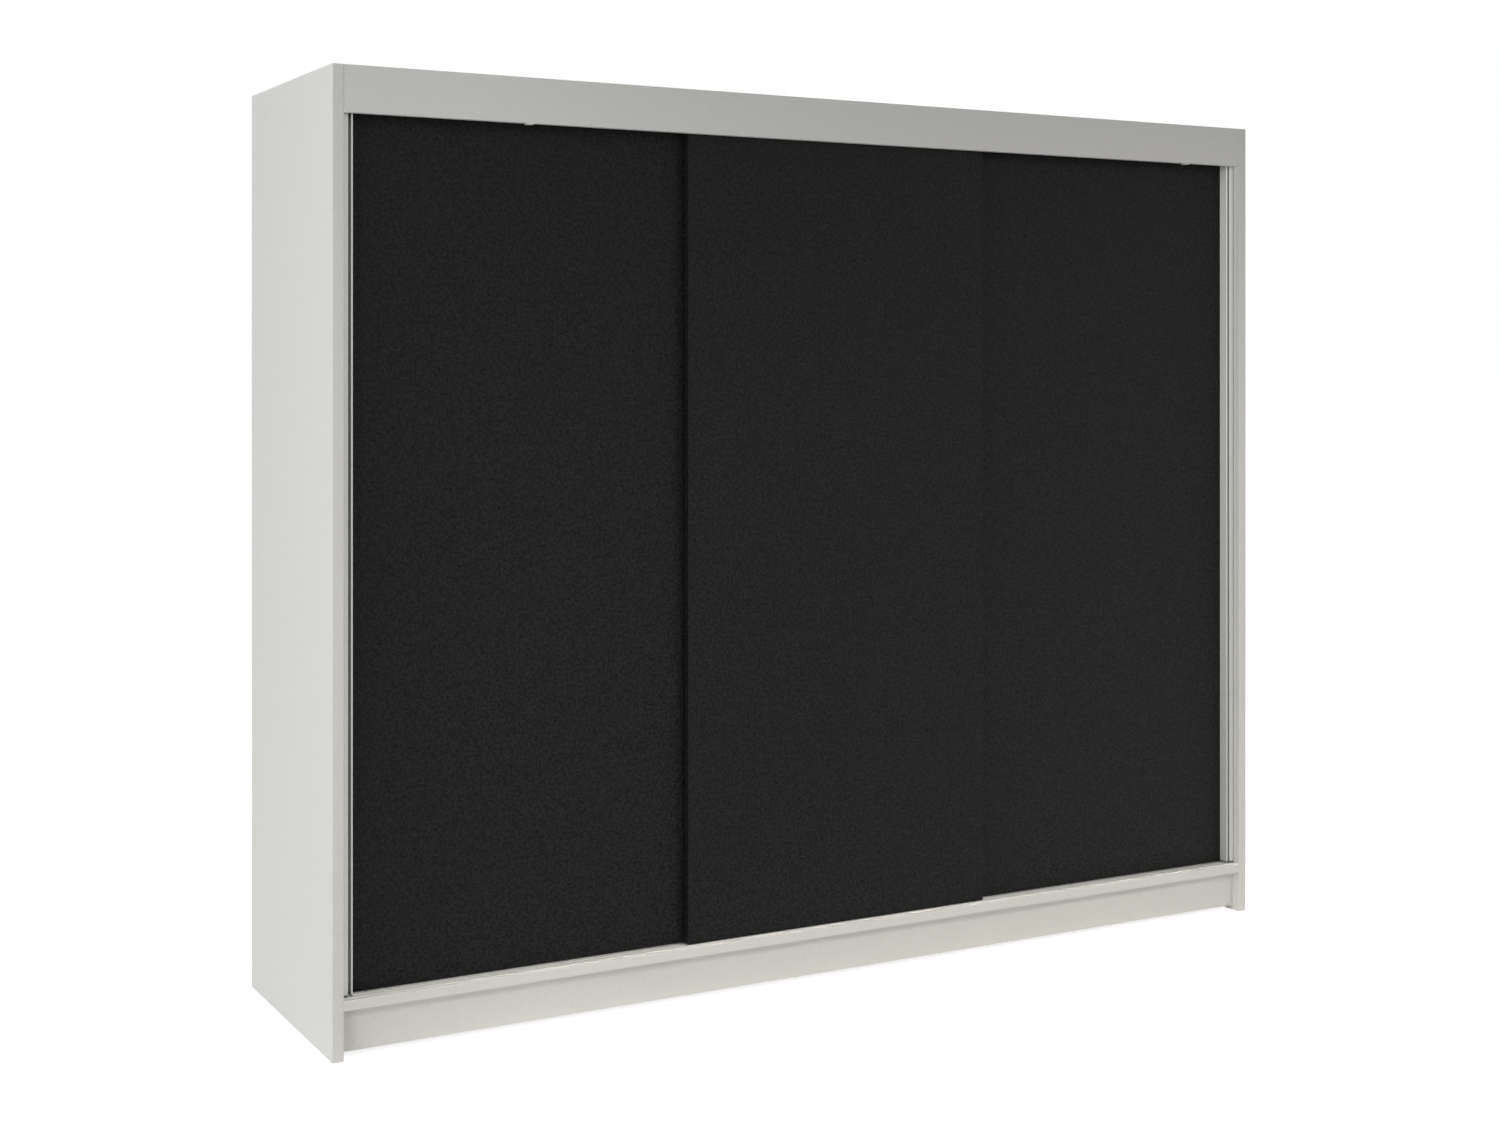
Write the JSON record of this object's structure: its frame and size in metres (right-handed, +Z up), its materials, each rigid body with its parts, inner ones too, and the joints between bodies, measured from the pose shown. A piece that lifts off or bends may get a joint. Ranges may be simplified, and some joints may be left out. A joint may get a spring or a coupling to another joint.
{
  "type": "sliding door wardrobe",
  "caption": "Wide free-standing wardrobe in white board with black sliding doors on rollers, aluminium edge handles, shelves and hanging rails inside.",
  "frame": {"origin": "on the floor, in the middle of the width and depth", "axes": "+X to the right along the width seen from the front, +Y to the back, +Z up; the doors face -Y"},
  "size_m": [2.5, 0.6138, 2.08],
  "materials": {
    "white_plastic": "extruded white plastic",
    "white_melamine_board": "white melamine-faced chipboard with white edge band, satin",
    "anodised_aluminium": "extruded, silver anodised",
    "zinc_plated_steel": "bright zinc plated",
    "nickel_zinc": "nickel-plated zinc die casting",
    "clear_rubber": "soft self-adhesive buffer",
    "beech": "fluted beech dowel",
    "grey_plastic": "moulded grey plastic",
    "white_hardboard": "lacquered hardboard sheet, white inside",
    "black_melamine_board": "black melamine-faced chipboard, fine matt grain",
    "nylon": "natural nylon, moulded",
    "chromed_steel": "chromed tube"
  },
  "bodies": {
    "carcass": {"back_joint_strips": "white_plastic", "bottom_panel": "white_melamine_board", "bottom_track": "anodised_aluminium", "cam_bolts": "zinc_plated_steel", "cam_discs": "nickel_zinc", "door_buffers": "clear_rubber", "dowels": "beech", "fascia_board": "white_melamine_board", "fascia_clips": "white_plastic", "feet": "grey_plastic", "joint_screws": "zinc_plated_steel", "left_back_panel": "white_hardboard", "left_hanging_rail": "chromed_steel", "left_hat_shelf": "white_melamine_board", "left_partition": "white_melamine_board", "left_side_panel": "white_melamine_board", "middle_back_panel": "white_hardboard", "middle_hat_shelf": "white_melamine_board", "middle_shelf_1": "white_melamine_board", "middle_shelf_2": "white_melamine_board", "middle_shelf_3": "white_melamine_board", "plinth_board": "white_melamine_board", "plinth_cross_boards": "white_melamine_board", "rail_holders": "nickel_zinc", "rear_plinth_board": "white_melamine_board", "right_back_panel": "white_hardboard", "right_hanging_rail": "chromed_steel", "right_hat_shelf": "white_melamine_board", "right_partition": "white_melamine_board", "right_side_panel": "white_melamine_board", "shelf_pins": "zinc_plated_steel", "top_panel": "white_melamine_board", "top_track": "anodised_aluminium", "wall_brackets": "zinc_plated_steel"},
    "left_door": {"left_door_axles": "zinc_plated_steel", "left_door_board": "black_melamine_board", "left_door_guides": "grey_plastic", "left_door_handle": "anodised_aluminium", "left_door_handle_caps": "grey_plastic", "left_door_trucks": "grey_plastic"},
    "left_door_outer_wheel": {"left_door_outer_wheel": "nylon"},
    "left_door_inner_wheel": {"left_door_inner_wheel": "nylon"},
    "right_door": {"right_door_axles": "zinc_plated_steel", "right_door_board": "black_melamine_board", "right_door_guides": "grey_plastic", "right_door_handle": "anodised_aluminium", "right_door_handle_caps": "grey_plastic", "right_door_trucks": "grey_plastic"},
    "right_door_outer_wheel": {"right_door_outer_wheel": "nylon"},
    "right_door_inner_wheel": {"right_door_inner_wheel": "nylon"},
    "middle_door": {"middle_door_axles": "zinc_plated_steel", "middle_door_board": "black_melamine_board", "middle_door_guides": "grey_plastic", "middle_door_trucks": "grey_plastic"},
    "middle_door_left_wheel": {"middle_door_left_wheel": "nylon"},
    "middle_door_right_wheel": {"middle_door_right_wheel": "nylon"}
  },
  "joints": [
    {"name": "left_door_slide", "type": "slide", "parent": "carcass", "child": "left_door", "axis": [1, 0, 0], "range_m": [0, 0.375]},
    {"name": "middle_door_slide", "type": "slide", "parent": "carcass", "child": "middle_door", "axis": [1, 0, 0], "range_m": [-0.405, 0.405]},
    {"name": "right_door_slide", "type": "slide", "parent": "carcass", "child": "right_door", "axis": [-1, 0, 0], "range_m": [0, 0.375]},
    {"name": "left_door_outer_wheel_spin", "type": "hinge", "parent": "left_door", "child": "left_door_outer_wheel", "pos_m": [-1.1273, -0.2539, 0.1403], "axis": [0, 1, 0], "continuous": true},
    {"name": "left_door_inner_wheel_spin", "type": "hinge", "parent": "left_door", "child": "left_door_inner_wheel", "pos_m": [-0.473, -0.2539, 0.1403], "axis": [0, 1, 0], "continuous": true},
    {"name": "right_door_outer_wheel_spin", "type": "hinge", "parent": "right_door", "child": "right_door_outer_wheel", "pos_m": [1.1273, -0.2539, 0.1403], "axis": [0, 1, 0], "continuous": true},
    {"name": "right_door_inner_wheel_spin", "type": "hinge", "parent": "right_door", "child": "right_door_inner_wheel", "pos_m": [0.473, -0.2539, 0.1403], "axis": [0, 1, 0], "continuous": true},
    {"name": "middle_door_left_wheel_spin", "type": "hinge", "parent": "middle_door", "child": "middle_door_left_wheel", "pos_m": [-0.3145, -0.2799, 0.1403], "axis": [0, 1, 0], "continuous": true},
    {"name": "middle_door_right_wheel_spin", "type": "hinge", "parent": "middle_door", "child": "middle_door_right_wheel", "pos_m": [0.3145, -0.2799, 0.1403], "axis": [0, 1, 0], "continuous": true}
  ],
  "couplings": [
    {"joint": "left_door_outer_wheel_spin", "follows": "left_door_slide", "rad_per_m": 100},
    {"joint": "left_door_inner_wheel_spin", "follows": "left_door_slide", "rad_per_m": 100},
    {"joint": "right_door_outer_wheel_spin", "follows": "right_door_slide", "rad_per_m": -100},
    {"joint": "right_door_inner_wheel_spin", "follows": "right_door_slide", "rad_per_m": -100},
    {"joint": "middle_door_left_wheel_spin", "follows": "middle_door_slide", "rad_per_m": 100},
    {"joint": "middle_door_right_wheel_spin", "follows": "middle_door_slide", "rad_per_m": 100}
  ]
}
